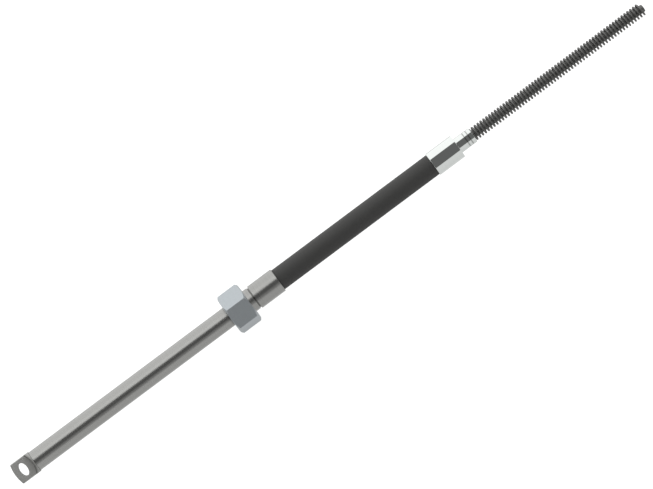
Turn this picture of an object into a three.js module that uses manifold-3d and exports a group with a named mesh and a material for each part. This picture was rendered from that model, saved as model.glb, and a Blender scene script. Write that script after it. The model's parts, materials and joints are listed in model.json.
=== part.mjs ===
// A boat's rotary steering cable: an eye on a sliding ram, a loose hexagon nut on a swaged ferrule, a black
// casing, a bright input sleeve, and the wound inner cable that runs through all of them to its free tip.
// Millimetres. The cable lies along +X with its eye at -X, on one flat of its nut, and +Z is up.
import * as THREE from "three";
import { mergeVertices } from "three/addons/utils/BufferGeometryUtils.js";
import Module from "manifold-3d";

// Driving dimensions, with stations along the cable counted from the tip of the eye.
const EYE_DIAMETER = 17;
const EYE_LENGTH = 17.5;
const EYE_END_RADIUS = 29;
const EYE_TURN_DEG = 45;
const BLADE_THICKNESS = 5.5;
const BLADE_LENGTH = 16.3;
const BLADE_CUTTER_RADIUS = 15.5;
const HOLE_LENGTH = 6.1;
const HOLE_WIDTH = 10.5;
const HOLE_FROM_END = 7.6;
const PLUG_LENGTH = 14;
const CORE_SOCKET_DEPTH = 12;

const RAM_DIAMETER = 15.9;
const RAM_WALL = 1.6;
const RAM_LENGTH = 189.7;
const RAM_IN_NUT = 11.4;

const GUIDE_WALL = 1.6;
const GUIDE_FROM_PLUG = 5;

const NUT_ACROSS_FLATS = 29.6;
const NUT_LENGTH = 18.4;
const NUT_CHAMFER_DEG = 30;
const NUT_THREAD_DIAMETER = 22.2;
const NUT_LIP_LENGTH = 3.2;
const NUT_CHAMFER_INSET = 0.3;

const FLANGE_DIAMETER = 20;
const FLANGE_LENGTH = 2.7;
const NECK_DIAMETER = 18.2;
const NECK_BEYOND_NUT = 4.9;
const GROOVE_WIDTH = 1;
const GROOVE_DEPTH = 0.6;
const FERRULE_DIAMETER = 19.4;
const FERRULE_GRIP = 21.5;
const FERRULE_GUIDE_SEAT = 8;
const FERRULE_WEB = 7;

const SHEATH_DIAMETER = 17.2;
const SHEATH_BORE = 11.4;
const SHEATH_VISIBLE = 141.9;
const SHEATH_IN_SLEEVE = 17;

const SLEEVE_DIAMETER = 19.2;
const SLEEVE_LENGTH = 22.8;
const NOSE_DIAMETER = 12.3;
const NOSE_LENGTH = 13.9;
const NOSE_GROOVE_STATIONS = [7.7, 10.6];
const NOSE_GROOVE_WIDTH = 0.9;
const NOSE_GROOVE_DEPTH = 0.2;

const CORE_DIAMETER = 6;
const CORE_BEYOND_NOSE = 156.7;
const CORE_TIP_ROUND = 0.8;
const WINDING_DIAMETER = 10.9;
const WINDING_PITCH = 2.643;
const WIRE_HEIGHT = 2.1;
const WIRE_WIDTH = 1.6;
const WINDING_IN_NOSE = 5.8;
const WINDING_SHORT_OF_TIP = 0.8;

// Clearances and small edges.
const SEAT_GAP = 0.3;
const SWAGE_GAP = 0.15;
const RUNNING_GAP = 0.3;
const SLIDE_GAP = 0.25;
const CORE_GAP = 0.2;
const EDGE = 0.2;

// How finely round things are divided.
const ROUND_SIDES = 48;
const CORE_SIDES = 24;
const WIRE_SIDES = 6;
const STEPS_PER_TURN = 12;
const CUT_MARGIN = 5;
const HEX_SIDES = 6;

// Stations worked out from the sizes above.
const ramStart = EYE_LENGTH + SEAT_GAP;
const ramEnd = ramStart + RAM_LENGTH;
const nutStart = ramEnd - RAM_IN_NUT;
const nutEnd = nutStart + NUT_LENGTH;
const lipStart = nutEnd - NUT_LIP_LENGTH;
const flangeEnd = lipStart - RUNNING_GAP;
const ferruleStart = flangeEnd - FLANGE_LENGTH;
const neckEnd = nutEnd + NECK_BEYOND_NUT;
const ferruleEnd = neckEnd + FERRULE_GRIP;
const guideEnd = ferruleStart + FERRULE_GUIDE_SEAT;
const sheathStart = guideEnd + SEAT_GAP + FERRULE_WEB + SEAT_GAP;
const sleeveStart = ferruleEnd + SHEATH_VISIBLE;
const sheathEnd = sleeveStart + SHEATH_IN_SLEEVE;
const sleeveEnd = sleeveStart + SLEEVE_LENGTH;
const noseEnd = sleeveEnd + NOSE_LENGTH;
const tip = noseEnd + CORE_BEYOND_NOSE;
const plugEnd = EYE_LENGTH + PLUG_LENGTH;
const guideStart = plugEnd + GUIDE_FROM_PLUG;
const coreStart = plugEnd - CORE_SOCKET_DEPTH + SEAT_GAP;

// Bores that follow what passes through them.
const ramBore = RAM_DIAMETER - 2 * RAM_WALL;
const guideDiameter = ramBore - 2 * SLIDE_GAP;
const guideBore = guideDiameter - 2 * GUIDE_WALL;
const noseBore = WINDING_DIAMETER + 2 * CORE_GAP;

const wasm = await Module();
wasm.setup();

// A turned piece: its outline is a list of [station, radius] pairs that goes once round the wall.
function turned(outline, sides = ROUND_SIDES) {
  const points = outline.map(([station, radius]) => new THREE.Vector2(radius, station));
  return new THREE.LatheGeometry(points, sides).rotateZ(-Math.PI / 2);
}

// The outline of a plain tube, with both outer edges eased.
function tubeOutline(start, end, outer, bore, edge = EDGE) {
  return [
    [start, bore / 2],
    [start, outer / 2 - edge],
    [start + edge, outer / 2],
    [end - edge, outer / 2],
    [end, outer / 2 - edge],
    [end, bore / 2],
    [start, bore / 2],
  ];
}

// The closed solid that a three.js geometry bounds, for cutting and joining.
function solidOf(geometry) {
  const bare = geometry.clone();
  bare.deleteAttribute("normal");
  bare.deleteAttribute("uv");
  const merged = mergeVertices(bare, 1e-4);
  return new wasm.Manifold(
    new wasm.Mesh({
      numProp: 3,
      vertProperties: merged.attributes.position.array,
      triVerts: new Uint32Array(merged.index.array),
    }),
  );
}

// The geometry of a cut or joined solid.
function geometryOf(solid) {
  const { numProp, vertProperties, triVerts } = solid.getMesh();
  const corners = new THREE.InterleavedBuffer(vertProperties, numProp);
  const geometry = new THREE.BufferGeometry();
  geometry.setAttribute("position", new THREE.InterleavedBufferAttribute(corners, 3, 0));
  geometry.setIndex(new THREE.BufferAttribute(triVerts, 1));
  const flat = geometry.toNonIndexed();
  flat.computeVertexNormals();
  return flat;
}

// A straight cutter with the given outline in the blade's own plane, running through its whole thickness.
function throughBlade(shape, from, depth) {
  const options = { depth, bevelEnabled: false, curveSegments: CORE_SIDES };
  return new THREE.ExtrudeGeometry(shape, options).translate(0, 0, from);
}

function circle(centre, radius) {
  return new THREE.Shape().absarc(centre, 0, radius, 0, 2 * Math.PI);
}

// The eye: a round end milled to a blade on both sides, with its oval link hole and the plug inside the ram.
function eyeEnd() {
  const plugRadius = ramBore / 2 - SWAGE_GAP;
  const socketRadius = CORE_DIAMETER / 2 + SEAT_GAP;
  const socketFloor = plugEnd - CORE_SOCKET_DEPTH;
  const blank = turned([
    [0, 0],
    [0, EYE_DIAMETER / 2],
    [EYE_LENGTH - EDGE, EYE_DIAMETER / 2],
    [EYE_LENGTH, EYE_DIAMETER / 2 - EDGE],
    [EYE_LENGTH, plugRadius],
    [plugEnd, plugRadius],
    [plugEnd, socketRadius],
    [socketFloor, socketRadius],
    [socketFloor, 0],
  ]);
  const reach = EYE_DIAMETER / 2 + CUT_MARGIN;
  const roundEnd = throughBlade(circle(EYE_END_RADIUS, EYE_END_RADIUS), -reach, 2 * reach);
  const hole = new THREE.Shape();
  hole.absellipse(HOLE_FROM_END, 0, HOLE_LENGTH / 2, HOLE_WIDTH / 2, 0, 2 * Math.PI);
  const milled = circle(BLADE_LENGTH - BLADE_CUTTER_RADIUS, BLADE_CUTTER_RADIUS);
  const above = throughBlade(milled, BLADE_THICKNESS / 2, reach);
  const below = throughBlade(milled, -BLADE_THICKNESS / 2 - reach, reach);
  const eye = solidOf(blank)
    .intersect(solidOf(roundEnd))
    .subtract(solidOf(throughBlade(hole, -reach, 2 * reach)))
    .subtract(solidOf(above))
    .subtract(solidOf(below));
  return geometryOf(eye).rotateX(THREE.MathUtils.degToRad(EYE_TURN_DEG));
}

// The nut: a hexagon with both ends chamfered, open for the thread at one end and lipped at the other.
function nut() {
  const corner = NUT_ACROSS_FLATS / 2 / Math.cos(Math.PI / HEX_SIDES);
  const faceRadius = NUT_ACROSS_FLATS / 2 - NUT_CHAMFER_INSET;
  const rise = corner + NUT_CHAMFER_INSET - faceRadius;
  const chamfer = rise * Math.tan(THREE.MathUtils.degToRad(NUT_CHAMFER_DEG));
  const threadRadius = NUT_THREAD_DIAMETER / 2;
  const lipRadius = NECK_DIAMETER / 2 + RUNNING_GAP;
  const hexagon = new THREE.CylinderGeometry(corner, corner, NUT_LENGTH, HEX_SIDES)
    .rotateZ(-Math.PI / 2)
    .rotateX(Math.PI / HEX_SIDES)
    .translate(nutStart + NUT_LENGTH / 2, 0, 0);
  const body = turned([
    [nutStart, threadRadius + EDGE],
    [nutStart, faceRadius],
    [nutStart + chamfer, faceRadius + rise],
    [nutEnd - chamfer, faceRadius + rise],
    [nutEnd, faceRadius],
    [nutEnd, lipRadius],
    [lipStart, lipRadius],
    [lipStart, threadRadius],
    [nutStart + EDGE, threadRadius],
    [nutStart, threadRadius + EDGE],
  ]);
  return geometryOf(solidOf(body).intersect(solidOf(hexagon)));
}

// The ferrule: the nut's flange, its neck, a fine groove and the thin shell swaged over the sheath.
function ferrule() {
  const neck = NECK_DIAMETER / 2;
  const guideSeat = guideDiameter / 2 + SWAGE_GAP;
  const sheathSeat = SHEATH_DIAMETER / 2 + SWAGE_GAP;
  const body = FERRULE_DIAMETER / 2;
  return turned([
    [ferruleStart, guideSeat],
    [ferruleStart, FLANGE_DIAMETER / 2],
    [flangeEnd, FLANGE_DIAMETER / 2],
    [flangeEnd, neck],
    [neckEnd - GROOVE_WIDTH, neck],
    [neckEnd - GROOVE_WIDTH, neck - GROOVE_DEPTH],
    [neckEnd, neck - GROOVE_DEPTH],
    [neckEnd, body - EDGE],
    [neckEnd + EDGE, body],
    [ferruleEnd - EDGE, body],
    [ferruleEnd, body - EDGE],
    [ferruleEnd, sheathSeat],
    [sheathStart - SEAT_GAP, sheathSeat],
    [sheathStart - SEAT_GAP, SHEATH_BORE / 2],
    [guideEnd + SEAT_GAP, SHEATH_BORE / 2],
    [guideEnd + SEAT_GAP, guideSeat],
    [ferruleStart, guideSeat],
  ]);
}

// One square groove turned into a surface of the given radius.
function groove(station, radius) {
  return [
    [station - NOSE_GROOVE_WIDTH / 2, radius],
    [station - NOSE_GROOVE_WIDTH / 2, radius - NOSE_GROOVE_DEPTH],
    [station + NOSE_GROOVE_WIDTH / 2, radius - NOSE_GROOVE_DEPTH],
    [station + NOSE_GROOVE_WIDTH / 2, radius],
  ];
}

// The input sleeve: a thin bright shell swaged over the sheath, closed down to a narrow nose round the core
// with two fine grooves near its end.
function inputSleeve() {
  const body = SLEEVE_DIAMETER / 2;
  const seat = SHEATH_DIAMETER / 2 + SWAGE_GAP;
  const nose = NOSE_DIAMETER / 2;
  return turned([
    [sleeveStart, seat],
    [sleeveStart, body - EDGE],
    [sleeveStart + EDGE, body],
    [sleeveEnd - EDGE, body],
    [sleeveEnd, body - EDGE],
    [sleeveEnd, nose],
    ...NOSE_GROOVE_STATIONS.flatMap((station) => groove(sleeveEnd + station, nose)),
    [noseEnd - EDGE, nose],
    [noseEnd, nose - EDGE],
    [noseEnd, noseBore / 2],
    [sheathEnd + SEAT_GAP, noseBore / 2],
    [sheathEnd + SEAT_GAP, seat],
    [sleeveStart, seat],
  ]);
}

// The inner cable: one smooth strand with a rounded tip.
function coreCable() {
  const radius = CORE_DIAMETER / 2;
  const outline = [
    [coreStart, 0],
    [coreStart, radius],
    [tip - CORE_TIP_ROUND, radius],
    [tip, radius - CORE_TIP_ROUND],
    [tip, 0],
  ];
  return turned(outline, CORE_SIDES);
}

// A right-handed helix about the cable's axis, whose section keeps one side turned to the axis.
class Helix extends THREE.Curve {
  constructor(start, end, radius, pitch) {
    super();
    this.start = start;
    this.radius = radius;
    this.span = end - start;
    this.turns = this.span / pitch;
  }

  outward(t) {
    const angle = 2 * Math.PI * this.turns * t;
    return new THREE.Vector3(0, Math.cos(angle), Math.sin(angle));
  }

  getPoint(t, target = new THREE.Vector3()) {
    const along = new THREE.Vector3(this.start + this.span * t, 0, 0);
    return target.copy(this.outward(t)).multiplyScalar(this.radius).add(along);
  }

  computeFrenetFrames(segments) {
    const frames = { tangents: [], normals: [], binormals: [] };
    for (let i = 0; i <= segments; i += 1) {
      const normal = this.outward(i / segments);
      const round = new THREE.Vector3(1, 0, 0).cross(normal);
      const tangent = round.multiplyScalar(2 * Math.PI * this.turns * this.radius);
      tangent.x = this.span;
      tangent.normalize();
      frames.tangents.push(tangent);
      frames.normals.push(normal);
      frames.binormals.push(new THREE.Vector3().crossVectors(tangent, normal));
    }
    return frames;
  }
}

// The wire wound on the inner cable in open turns, oval in section.
function coreWinding() {
  const start = noseEnd - WINDING_IN_NOSE;
  const end = tip - WINDING_SHORT_OF_TIP;
  const path = new Helix(start, end, (WINDING_DIAMETER - WIRE_HEIGHT) / 2, WINDING_PITCH);
  const section = new THREE.Shape();
  section.absellipse(0, 0, WIRE_HEIGHT / 2, WIRE_WIDTH / 2, 0, 2 * Math.PI);
  const wire = new THREE.Shape(section.getPoints(WIRE_SIDES).slice(0, WIRE_SIDES));
  const steps = Math.round(path.turns * STEPS_PER_TURN);
  return new THREE.ExtrudeGeometry(wire, { steps, extrudePath: path });
}

// Finishes.
const forged = new THREE.MeshStandardMaterial({ color: "#838380", metalness: 1, roughness: 0.5 });
const ground = new THREE.MeshStandardMaterial({ color: "#b4b4b1", metalness: 1, roughness: 0.3 });
const plated = new THREE.MeshStandardMaterial({ color: "#b0b6ba", metalness: 1, roughness: 0.4 });
const polished = new THREE.MeshStandardMaterial({ color: "#d9dcda", metalness: 1, roughness: 0.15 });
const plastic = new THREE.MeshStandardMaterial({ color: "#2b2b2a", metalness: 0, roughness: 0.6 });
const wire = new THREE.MeshStandardMaterial({ color: "#6c6c6a", metalness: 1, roughness: 0.45 });

const pieces = [
  ["eye_end", forged, eyeEnd()],
  ["ram_tube", ground, turned(tubeOutline(ramStart, ramEnd, RAM_DIAMETER, ramBore))],
  ["guide_tube", ground, turned(tubeOutline(guideStart, guideEnd, guideDiameter, guideBore))],
  ["nut", plated, nut()],
  ["ferrule", ground, ferrule()],
  ["sheath", plastic, turned(tubeOutline(sheathStart, sheathEnd, SHEATH_DIAMETER, SHEATH_BORE))],
  ["input_sleeve", polished, inputSleeve()],
  ["core_cable", wire, coreCable()],
  ["core_winding", wire, coreWinding()],
];

// The cable rests on one flat of its nut, with the middle of its length above the origin.
const cable = new THREE.Group();
cable.position.set(-tip / 2, 0, NUT_ACROSS_FLATS / 2);
for (const [name, material, geometry] of pieces) {
  const mesh = new THREE.Mesh(geometry, material);
  mesh.name = name;
  cable.add(mesh);
}

const group = new THREE.Group();
group.add(cable);

export default group;
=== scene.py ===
import json
import math

import bmesh
import bpy
from mathutils import Matrix, Vector

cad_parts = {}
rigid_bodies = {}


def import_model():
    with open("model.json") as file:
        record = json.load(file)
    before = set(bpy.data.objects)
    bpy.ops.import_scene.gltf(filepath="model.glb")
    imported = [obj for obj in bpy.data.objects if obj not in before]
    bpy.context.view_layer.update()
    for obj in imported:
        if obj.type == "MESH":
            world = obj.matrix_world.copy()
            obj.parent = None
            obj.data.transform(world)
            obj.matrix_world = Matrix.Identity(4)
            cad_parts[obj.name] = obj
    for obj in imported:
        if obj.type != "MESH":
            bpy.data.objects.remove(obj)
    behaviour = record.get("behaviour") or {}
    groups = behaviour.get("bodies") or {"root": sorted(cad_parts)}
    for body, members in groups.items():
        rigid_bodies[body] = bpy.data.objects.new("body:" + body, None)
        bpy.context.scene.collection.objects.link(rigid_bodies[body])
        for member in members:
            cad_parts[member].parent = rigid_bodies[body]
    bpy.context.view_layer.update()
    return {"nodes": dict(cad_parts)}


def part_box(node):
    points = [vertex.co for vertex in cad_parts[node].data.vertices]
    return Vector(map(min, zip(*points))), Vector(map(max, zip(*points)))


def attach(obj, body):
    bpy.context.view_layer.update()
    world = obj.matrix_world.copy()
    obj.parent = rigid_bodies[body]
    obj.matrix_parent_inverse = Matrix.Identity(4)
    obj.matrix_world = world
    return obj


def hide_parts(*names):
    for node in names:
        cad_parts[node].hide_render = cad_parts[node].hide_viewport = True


# A boat's steering cable lying on a pale back-lit table. Everything is in metres, in the frame of the packed
# model: the cable runs along X, with its link eye at -X and the free tip of its wound core at +X.
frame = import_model()
MM = 0.001

# Where the photograph was taken from: square to the cable, above it and in front, with the camera rolled.
PHOTO_WIDTH_PX = 653
MM_PER_PX = 0.736
VIEW_ELEVATION = 45
VIEW_ROLL = 36.7
LENS_MM = 250
SENSOR_MM = 36
# The middle of the picture, toward the link eye and below the cable's axis as the camera sees it.
TARGET_X = -3.1 * MM
TARGET_BELOW_AXIS = 0.44 * MM


class Stretch:
    """The length along X and the radius that a CAD node takes up."""

    def __init__(self, node):
        low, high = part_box(node)
        self.start, self.end = low[0], high[0]
        self.radius = (high[1] - low[1]) / 2


eye_box = Stretch("eye_end")
ram_box = Stretch("ram_tube")
guide_box = Stretch("guide_tube")
nut_box = Stretch("nut")
ferrule_box = Stretch("ferrule")
sheath_box = Stretch("sheath")
sleeve_box = Stretch("input_sleeve")
core_box = Stretch("core_cable")
winding_box = Stretch("core_winding")
ram_low, ram_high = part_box("ram_tube")
AXIS = Vector((0, 0, (ram_low[2] + ram_high[2]) / 2))

# Points closer than this are one point.
MERGE_DISTANCE = 1e-7

# The gap that CAD leaves between the ram's tube and the eye's collar, the wall of both steel tubes, and the
# radius of the bore through the black jacket.
SEAT_GAP = 0.3 * MM
TUBE_WALL = 1.6 * MM
JACKET_BORE_RADIUS = 5.7 * MM

# The nut's thread, 14 turns to the inch: how far it stands in, sinks into the wall and starts from the end.
THREAD_PITCH = 25.4 / 14 * MM
THREAD_RADIUS = 11.1 * MM
THREAD_DEPTH = 0.95 * MM
THREAD_ROOT = 0.2 * MM
THREAD_INSET = 1.2 * MM
THREAD_RINGS = 5

# The wire of the rack: its pitch along the core, its section's height and width, and how finely it is drawn.
WIRE_PITCH = 2.643 * MM
WIRE_HEIGHT = 2.1 * MM
WIRE_WIDTH = 1.6 * MM
WIRE_SIDES = 10
STEPS_PER_TURN = 28

# The milling cutter that made the blade of the eye, and how far the painted shade spreads from where it
# stopped.
BLADE_LENGTH = 16.3 * MM
CUTTER_RADIUS = 15.5 * MM
CUTTER_CENTRE = AXIS + Vector((eye_box.start + BLADE_LENGTH - CUTTER_RADIUS, 0, 0))
BLADE_SIDEWAYS = (0, math.sqrt(0.5), math.sqrt(0.5))
CORNER_REACH = 1.0 * MM

# The middles of the grooves that get painted shade, and how far the painted shade spreads to both sides.
FERRULE_GROOVE = ferrule_box.end - 22 * MM
FERRULE_GROOVE_REACH = 0.7 * MM
NOSE_GROOVES = (sleeve_box.end - 6.2 * MM, sleeve_box.end - 3.3 * MM)
NOSE_GROOVE_REACH = 0.6 * MM

# Most values of a noise texture lie between these two.
NOISE_LOW = 0.3
NOISE_HIGH = 0.7

# Patterns per metre: how slowly a turned mark changes round a piece, and the jacket's die lines.
TURNED_MARKS_AROUND = 12
DIE_LINES_ALONG = 8
DIE_LINES_ACROSS = 900

# How bright the studio is, where a white sheet in full light is 1, and where its parts begin and end. The
# angles are measured from the view, over the top of the cable.
TABLE_GLOW = 0.98
TABLE_HALF_WIDTH = 6
BACK_LIGHT = 1.85
FRONT_SHADE = 0.215
LOW_FRONT = 1.0
BACK_EDGE_DEG = 48
LOW_EDGE_DEG = -44.5
EDGE_BLUR = 0.03
STRIP_FROM_DEG = 18.5
STRIP_LIGHT = 1.85
CARD_TO_DEG = -22
CARD_LIGHT = 0.35
LAMP_DISTANCE = 0.9
LAMP_LENGTH = 3.0


def camera():
    """The photograph's view, from far off through a long lens."""
    tilt, roll = math.radians(VIEW_ELEVATION), math.radians(VIEW_ROLL)
    along = Vector((1, 0, 0))
    back = Vector((0, -math.cos(tilt), math.sin(tilt)))
    up = back.cross(along)
    right = along * math.cos(roll) - up * math.sin(roll)
    above = along * math.sin(roll) + up * math.cos(roll)
    data = bpy.data.cameras.new("view")
    data.lens, data.sensor_width = LENS_MM, SENSOR_MM
    distance = LENS_MM * PHOTO_WIDTH_PX * MM_PER_PX / SENSOR_MM * MM
    eye = AXIS + along * TARGET_X - up * TARGET_BELOW_AXIS + back * distance
    place = Matrix((right, above, back)).transposed().to_4x4()
    place.translation = eye
    seen_from = bpy.data.objects.new("view", data)
    seen_from.matrix_world = place
    bpy.context.scene.collection.objects.link(seen_from)
    bpy.context.scene.camera = seen_from


camera()


def linear(code):
    """An sRGB hex colour as linear light."""
    parts = [int(code[i : i + 2], 16) / 255 for i in (1, 3, 5)]
    curved = [c / 12.92 if c <= 0.04045 else ((c + 0.055) / 1.055) ** 2.4 for c in parts]
    return (*curved, 1)


def add(tree, kind, inputs=None, **settings):
    """A node with its settings, and with values or other nodes' outputs at its inputs."""
    node = tree.nodes.new(kind)
    for name, value in settings.items():
        setattr(node, name, value)
    for socket, value in (inputs or {}).items():
        if isinstance(value, bpy.types.NodeSocket):
            tree.links.new(value, node.inputs[socket])
        else:
            node.inputs[socket].default_value = value
    return node


def ramp(tree, value, low, high, start=0.0, end=1.0):
    """value from start to end becomes low to high."""
    inputs = {"Value": value, "From Min": start, "From Max": end, "To Min": low, "To Max": high}
    return add(tree, "ShaderNodeMapRange", inputs).outputs["Result"]


def finish_named(name):
    """An empty material with its shader, and the coordinates of a point of the piece."""
    material = bpy.data.materials.new(name)
    material.use_nodes = True
    tree = material.node_tree
    shader = tree.nodes["Principled BSDF"]
    place = add(tree, "ShaderNodeTexCoord").outputs["Object"]
    return material, tree, shader, place


def stretched(tree, place, along, across):
    """The coordinates scaled along the cable and across it, so that marks run round it or along it."""
    inputs = {"Vector": place, "Scale": (along, across, across)}
    return add(tree, "ShaderNodeMapping", inputs).outputs["Vector"]


def turned_marks(tree, place, spacing_mm):
    """Fine marks that run round a turned piece, at a spacing along it."""
    marks = stretched(tree, place, 1 / (spacing_mm * MM), TURNED_MARKS_AROUND)
    return add(tree, "ShaderNodeTexNoise", {"Vector": marks, "Scale": 1.0, "Detail": 3.0}).outputs["Fac"]


def milled_marks(tree, place, spacing_mm):
    """Faint feed marks and mottling that run in every direction."""
    spots = stretched(tree, place, 1 / (spacing_mm * MM), 1 / (spacing_mm * MM))
    return add(tree, "ShaderNodeTexNoise", {"Vector": spots, "Scale": 1.0, "Detail": 3.0}).outputs["Fac"]


def two_tones(tree, factor, first, second):
    """A colour between two, by a factor."""
    inputs = {"Factor": factor, "A": linear(first), "B": linear(second)}
    return add(tree, "ShaderNodeMix", inputs, data_type="RGBA").outputs["Result"]


def bumped(tree, shader, height, depth_mm):
    """Relief of the given depth on the shader."""
    inputs = {"Height": height, "Distance": depth_mm * MM, "Strength": 1.0}
    tree.links.new(add(tree, "ShaderNodeBump", inputs).outputs["Normal"], shader.inputs["Normal"])


def metal(
    name, light, dark, roughness, spacing_mm, relief_mm, spread=0.015, metallic=1.0, marks_of=turned_marks
):
    """A bare metal whose tone, gloss and relief all follow the marks of how it was made."""
    material, tree, shader, place = finish_named(name)
    marks = marks_of(tree, place, spacing_mm)
    tone = two_tones(tree, ramp(tree, marks, 0, 1, NOISE_LOW, NOISE_HIGH), dark, light)
    tree.links.new(tone, shader.inputs["Base Color"])
    gloss = ramp(tree, marks, roughness - spread / 2, roughness + spread / 2, NOISE_LOW, NOISE_HIGH)
    tree.links.new(gloss, shader.inputs["Roughness"])
    shader.inputs["Metallic"].default_value = metallic
    bumped(tree, shader, marks, relief_mm)
    return material


def painted_shade_on(material, mask_of, shade_colour):
    """Darkens a finish where a mask of the point's place is 1: painted shade, standing in for the shade that
    falls in a groove or corner.
    """
    tree = material.node_tree
    shader = tree.nodes["Principled BSDF"]
    place = add(tree, "ShaderNodeTexCoord").outputs["Object"]
    unshaded = shader.inputs["Base Color"].links[0].from_socket
    # Painted shade: the masked places take a darker colour in place of the shade that a groove or corner
    # gets.
    inputs = {"Factor": mask_of(tree, place), "A": unshaded, "B": linear(shade_colour)}
    with_shade = add(tree, "ShaderNodeMix", inputs, data_type="RGBA").outputs["Result"]
    tree.links.new(with_shade, shader.inputs["Base Color"])
    return material


def near(tree, value, target, reach):
    """1 where a value is at the target, falling to 0 at reach on both sides of it."""
    away = add(tree, "ShaderNodeMath", {0: value, 1: target}, operation="SUBTRACT").outputs["Value"]
    away = add(tree, "ShaderNodeMath", {0: away}, operation="ABSOLUTE").outputs["Value"]
    return ramp(tree, away, 1, 0, reach / 2, reach)


def ground_steel():
    """Centreless ground stainless rod: satin, with faint rings drawn coarser than real, so that they show."""
    return metal("ground_stainless_steel", "#888886", "#848482", 0.27, 0.5, 0.00004)


def drawn_steel():
    """Drawn and swaged stainless tube: as the rod, a little rougher, with painted shade (a darker band) in
    the ferrule's groove.
    """
    drawn = metal("swaged_stainless_steel", "#888886", "#828280", 0.28, 0.8, 0.0001)

    def groove(tree, place):
        along = add(tree, "ShaderNodeSeparateXYZ", {"Vector": place}).outputs["X"]
        return near(tree, along, FERRULE_GROOVE, FERRULE_GROOVE_REACH)

    # Painted shade: a darker band in the ferrule's groove, where the groove's fillet shows dark.
    return painted_shade_on(drawn, groove, "#5a5a58")


def milled_steel():
    """Forged, milled and blasted steel: dull grey, with painted shade (a thin dark arc) where the blade meets
    the collar.
    """
    dull = metal(
        "milled_forged_steel", "#8a8a87", "#828280", 0.6, 0.7, 0.002, metallic=0.3, marks_of=milled_marks
    )

    def shoulder(tree, place):
        """The arc where the milling cutter stopped, in the plane of the blade."""
        offset = add(tree, "ShaderNodeVectorMath", {0: place, 1: CUTTER_CENTRE}, operation="SUBTRACT")
        offset = offset.outputs["Vector"]
        along = add(tree, "ShaderNodeSeparateXYZ", {"Vector": offset}).outputs["X"]
        across = add(tree, "ShaderNodeVectorMath", {0: offset, 1: BLADE_SIDEWAYS}, operation="DOT_PRODUCT")
        spot = add(tree, "ShaderNodeCombineXYZ", {"X": along, "Y": across.outputs["Value"]}).outputs["Vector"]
        reach = add(tree, "ShaderNodeVectorMath", {0: spot}, operation="LENGTH").outputs["Value"]
        return near(tree, reach, CUTTER_RADIUS, CORNER_REACH)

    # Painted shade: a thin dark arc along the run-out where the blade meets the collar.
    return painted_shade_on(dull, shoulder, "#62625f")


def zinc_plate():
    """Bright zinc plate on a hexagon bar: a cool, slightly blue satin."""
    return metal("bright_zinc_plate", "#979c9f", "#93989b", 0.44, 1.2, 0.0004, marks_of=milled_marks)


def polished_steel():
    """Polished stainless shell: a near mirror with the faintest rings, and painted shade in the nose's
    grooves.
    """
    mirror = metal("polished_stainless_steel", "#bdc0be", "#babdbb", 0.05, 1.5, 0.00003)

    def grooves(tree, place):
        along = add(tree, "ShaderNodeSeparateXYZ", {"Vector": place}).outputs["X"]
        first = near(tree, along, NOSE_GROOVES[0], NOSE_GROOVE_REACH)
        second = near(tree, along, NOSE_GROOVES[1], NOSE_GROOVE_REACH)
        return add(tree, "ShaderNodeMath", {0: first, 1: second}, operation="MAXIMUM").outputs["Value"]

    # Painted shade: darker rings in the nose's two grooves.
    return painted_shade_on(mirror, grooves, "#8a8c8a")


def drawn_wire():
    """Drawn carbon steel wire under a film of grease: dark grey, with a soft sheen."""
    return metal("greased_steel_wire", "#6a6a68", "#616160", 0.62, 0.4, 0.001)


def black_polyethylene():
    """Extruded polyethylene jacket: matt black with long faint die lines."""
    material, tree, shader, place = finish_named("black_polyethylene")
    lines = stretched(tree, place, DIE_LINES_ALONG, DIE_LINES_ACROSS)
    streaks = add(tree, "ShaderNodeTexNoise", {"Vector": lines, "Scale": 1.0, "Detail": 2.0}).outputs["Fac"]
    tree.links.new(two_tones(tree, streaks, "#2e2e2d", "#343433"), shader.inputs["Base Color"])
    tree.links.new(ramp(tree, streaks, 0.68, 0.78, NOISE_LOW, NOISE_HIGH), shader.inputs["Roughness"])
    shader.inputs["Specular IOR Level"].default_value = 0.35
    bumped(tree, shader, streaks, 0.01)
    return material


def finished(name, body, material, shape, nodes=(), sharp_deg=30):
    """Turns a bmesh into a piece: smooth, with crisp edges, in its finish, on its body, for its CAD nodes."""
    bmesh.ops.remove_doubles(shape, verts=shape.verts, dist=MERGE_DISTANCE)
    bmesh.ops.recalc_face_normals(shape, faces=shape.faces)
    mesh = bpy.data.meshes.new(name)
    shape.to_mesh(mesh)
    shape.free()
    mesh.shade_smooth()
    mesh.set_sharp_from_angle(angle=math.radians(sharp_deg))
    mesh.materials.append(material)
    piece = bpy.data.objects.new(name, mesh)
    bpy.context.scene.collection.objects.link(piece)
    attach(piece, body)
    if nodes:
        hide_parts(*nodes)
    return piece


def flatten_faces(piece):
    """Keeps the flats of a piece flat where rounded edges meet them."""
    weighted = piece.modifiers.new("flats", "WEIGHTED_NORMAL")
    weighted.keep_sharp = True


def ease_edges(shape, width, segments=3, turn_deg=30):
    """Rounds every edge where the surface turns by more than turn_deg."""
    turn = math.radians(turn_deg)
    edges = [edge for edge in shape.edges if len(edge.link_faces) == 2 and edge.calc_face_angle() > turn]
    bmesh.ops.bevel(
        shape, geom=edges, offset=width, offset_type="OFFSET", affect="EDGES",
        segments=segments, profile=0.5, material=-1, clamp_overlap=True,
    )


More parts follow.
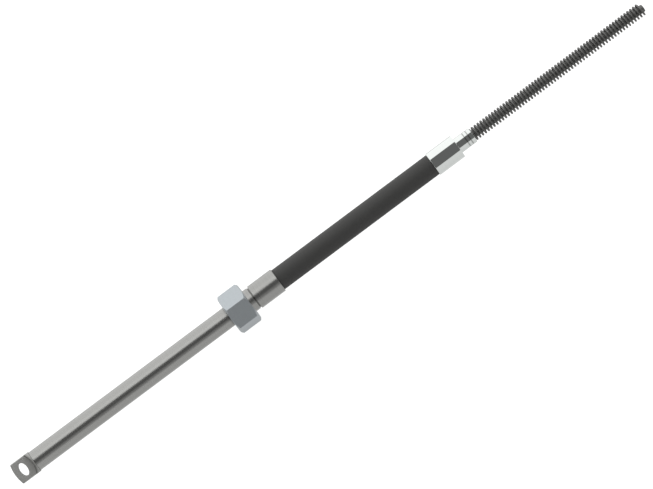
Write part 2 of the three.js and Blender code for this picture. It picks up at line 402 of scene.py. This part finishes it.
def spun(outline, steps=128, ease=0.2 * MM):
    """A closed outline of (station, radius) pairs spun once round the axis, with its sharp edges eased."""
    shape = bmesh.new()
    corners = [shape.verts.new(AXIS + Vector((x, 0, r))) for x, r in outline]
    edges = [shape.edges.new(pair) for pair in zip(corners, corners[1:] + corners[:1])]
    bmesh.ops.spin(
        shape, geom=corners + edges, cent=AXIS, axis=(1, 0, 0), angle=2 * math.pi, steps=steps, use_merge=True
    )
    bmesh.ops.remove_doubles(shape, verts=shape.verts, dist=MERGE_DISTANCE)
    bmesh.ops.recalc_face_normals(shape, faces=shape.faces)
    if ease:
        ease_edges(shape, ease)
    return shape


def shape_of(node):
    """A merged copy of a CAD node's mesh, with its flat faces made whole."""
    shape = bmesh.new()
    shape.from_mesh(frame["nodes"][node].data)
    bmesh.ops.remove_doubles(shape, verts=shape.verts, dist=MERGE_DISTANCE)
    bmesh.ops.dissolve_limit(shape, angle_limit=math.radians(1), verts=shape.verts, edges=shape.edges)
    return shape


def tube(start, end, radius, wall, edge):
    """The closed outline of a plain tube, with both outer edges chamfered."""
    return [
        (start, radius - wall),
        (start, radius - edge),
        (start + edge, radius),
        (end - edge, radius),
        (end, radius - edge),
        (end, radius - wall),
    ]


def link_eye():
    """The forged eye, its edges eased as tumbling leaves them."""
    shape = shape_of("eye_end")
    ease_edges(shape, 0.25 * MM)
    piece = finished("link_eye", "ram", milled_steel(), shape, ["eye_end"])
    flatten_faces(piece)


def output_ram():
    """The ram's tube, which is swaged hard up against the eye's collar."""
    outline = tube(ram_box.start - SEAT_GAP, ram_box.end, ram_box.radius, TUBE_WALL, 0.15 * MM)
    shape = spun(outline, ease=0.05 * MM)
    finished("output_ram", "ram", ground_steel(), shape, ["ram_tube"])


def inner_guide():
    """The fixed tube that the ram slides on, seen only when the ram is out."""
    outline = tube(guide_box.start, guide_box.end, guide_box.radius, TUBE_WALL, 0.3 * MM)
    shape = spun(outline, ease=0.1 * MM)
    finished("inner_guide", "casing", drawn_steel(), shape, ["guide_tube"])


def loose_nut():
    """The hexagon nut with its chamfered ends, its edges just broken."""
    shape = shape_of("nut")
    ease_edges(shape, 0.2 * MM)
    piece = finished("tube_nut", "loose_nut", zinc_plate(), shape, ["nut"])
    flatten_faces(piece)


def nut_thread():
    """The nut's thread as closed ridges that stand in from the bore, each with a narrow flat on its crest."""
    flat = THREAD_PITCH / 8
    crest = THREAD_RADIUS - THREAD_DEPTH
    root = THREAD_RADIUS + THREAD_ROOT
    first = nut_box.start + THREAD_INSET
    last = first + THREAD_RINGS * THREAD_PITCH
    outline = [(first, THREAD_RADIUS)]
    for ring in range(THREAD_RINGS):
        x = first + ring * THREAD_PITCH
        middle = x + THREAD_PITCH / 2
        outline += [(x + flat / 2, THREAD_RADIUS), (middle - flat / 2, crest)]
        outline += [(middle + flat / 2, crest), (x + THREAD_PITCH - flat / 2, THREAD_RADIUS)]
    outline += [(last, THREAD_RADIUS), (last, root), (first, root)]
    finished("nut_thread", "loose_nut", zinc_plate(), spun(outline, steps=96, ease=0))


def swaged_ferrule():
    """The swaged fitting with its neck and its groove."""
    shape = shape_of("ferrule")
    ease_edges(shape, 0.08 * MM, segments=2)
    finished("swaged_ferrule", "casing", drawn_steel(), shape, ["ferrule"])


def casing_jacket():
    """The black outer jacket, cut square at both ends."""
    radius = sheath_box.radius
    outline = tube(sheath_box.start, sheath_box.end, radius, radius - JACKET_BORE_RADIUS, 0.2 * MM)
    finished("casing_jacket", "casing", black_polyethylene(), spun(outline), ["sheath"])


def polished_sleeve():
    """The bright sleeve on the input end, with its narrower, grooved nose."""
    shape = shape_of("input_sleeve")
    ease_edges(shape, 0.08 * MM, segments=2)
    finished("polished_sleeve", "casing", polished_steel(), shape, ["input_sleeve"])


def inner_strand():
    """The strand with its rounded tip, an outline closed along the axis."""
    start, end, r = core_box.start, core_box.end, core_box.radius
    shape = spun([(start, 0), (start, r), (end, r), (end, 0)], steps=48, ease=0.8 * MM)
    finished("inner_strand", "ram", drawn_wire(), shape, ["core_cable"])


def rack_winding():
    """The oval wire in open right-handed turns: its section is spun round the axis and moved along it."""
    start, end = winding_box.start + WIRE_WIDTH / 2, winding_box.end - WIRE_WIDTH / 2
    turns = (end - start) / WIRE_PITCH
    steps = round(turns * STEPS_PER_TURN)
    shape = bmesh.new()
    half = WIRE_HEIGHT / 2
    ring = bmesh.ops.create_circle(shape, cap_ends=False, radius=half, segments=WIRE_SIDES)["verts"]
    bmesh.ops.scale(shape, vec=(WIRE_WIDTH / WIRE_HEIGHT, 1, 1), verts=ring)
    middle = Vector((start, winding_box.radius - half, 0))
    bmesh.ops.translate(shape, vec=AXIS + middle, verts=ring)
    bmesh.ops.spin(
        shape, geom=shape.verts[:] + shape.edges[:], cent=AXIS, axis=(1, 0, 0),
        dvec=((end - start) / steps, 0, 0), angle=2 * math.pi * turns, steps=steps, use_merge=False,
    )
    bmesh.ops.holes_fill(shape, edges=[edge for edge in shape.edges if edge.is_boundary], sides=0)
    finished("rack_winding", "ram", drawn_wire(), shape, ["core_winding"], sharp_deg=50)


link_eye()
output_ram()
inner_guide()
loose_nut()
nut_thread()
swaged_ferrule()
casing_jacket()
polished_sleeve()
inner_strand()
rack_winding()


def table():
    """A white acrylic table, lit from below, so that it stays pale and shows no shadows."""
    shape = bmesh.new()
    bmesh.ops.create_grid(shape, x_segments=1, y_segments=1, size=TABLE_HALF_WIDTH)
    mesh = bpy.data.meshes.new("table")
    shape.to_mesh(mesh)
    shape.free()
    material, _, shader, _ = finish_named("white_acrylic")
    shader.inputs["Base Color"].default_value = linear("#6a6a6a")
    shader.inputs["Roughness"].default_value = 0.9
    shader.inputs["Specular IOR Level"].default_value = 0.0
    shader.inputs["Emission Color"].default_value = (1, 1, 1, 1)
    shader.inputs["Emission Strength"].default_value = TABLE_GLOW
    mesh.materials.append(material)
    top = bpy.data.objects.new("table", mesh)
    bpy.context.scene.collection.objects.link(top)


def strip_light(name, from_deg, to_deg, level, spare):
    """A long soft light between two angles from the view, screened from the pieces named in spare."""
    middle = math.radians(VIEW_ELEVATION + (from_deg + to_deg) / 2)
    half = math.radians((to_deg - from_deg) / 2)
    width = 2 * LAMP_DISTANCE * math.tan(half)
    data = bpy.data.lights.new(name, "AREA")
    data.shape, data.size, data.size_y = "RECTANGLE", LAMP_LENGTH, width
    data.energy = level * LAMP_LENGTH * width * math.pi
    lamp = bpy.data.objects.new(name, data)
    back = Vector((0, -math.cos(middle), math.sin(middle)))
    place = Matrix((Vector((1, 0, 0)), back.cross(Vector((1, 0, 0))), back)).transposed().to_4x4()
    place.translation = AXIS + back * LAMP_DISTANCE
    lamp.matrix_world = place
    lamp.visible_camera = False
    bpy.context.scene.collection.objects.link(lamp)
    lit = bpy.data.collections.new("lit_by_" + name)
    for piece in bpy.context.scene.objects:
        if piece.type == "MESH" and piece.name not in spare:
            lit.objects.link(piece)
    lamp.light_linking.receiver_collection = lit


def studio():
    """Bright behind and beyond the top, shaded in front, and pale again near the front horizon."""
    world = bpy.data.worlds.new("studio")
    world.use_nodes = True
    tree = world.node_tree
    way = add(tree, "ShaderNodeTexCoord").outputs["Generated"]

    def side(edge_deg, outward):
        """1 on the outer side of an edge of the sky, which runs along the cable, and 0 on the other."""
        angle = math.radians(VIEW_ELEVATION + edge_deg + outward)
        towards = (0, -math.cos(angle), math.sin(angle))
        past = add(tree, "ShaderNodeVectorMath", {0: way, 1: towards}, operation="DOT_PRODUCT")
        return ramp(tree, past.outputs["Value"], 0, 1, -EDGE_BLUR, EDGE_BLUR)

    low = ramp(tree, side(LOW_EDGE_DEG, -90), FRONT_SHADE, LOW_FRONT)
    inputs = {"Factor": side(BACK_EDGE_DEG, 90), "A": low, "B": BACK_LIGHT}
    level = add(tree, "ShaderNodeMix", inputs, data_type="FLOAT").outputs["Result"]
    tree.links.new(level, tree.nodes["Background"].inputs["Strength"])
    tree.nodes["Background"].inputs["Color"].default_value = (1, 1, 1, 1)
    bpy.context.scene.world = world
    bpy.context.scene.view_settings.view_transform = "Standard"


table()
studio()
strip_light("overhead_strip", STRIP_FROM_DEG, BACK_EDGE_DEG, STRIP_LIGHT, ["polished_sleeve"])
strip_light("front_card", LOW_EDGE_DEG, CARD_TO_DEG, CARD_LIGHT, ["polished_sleeve"])
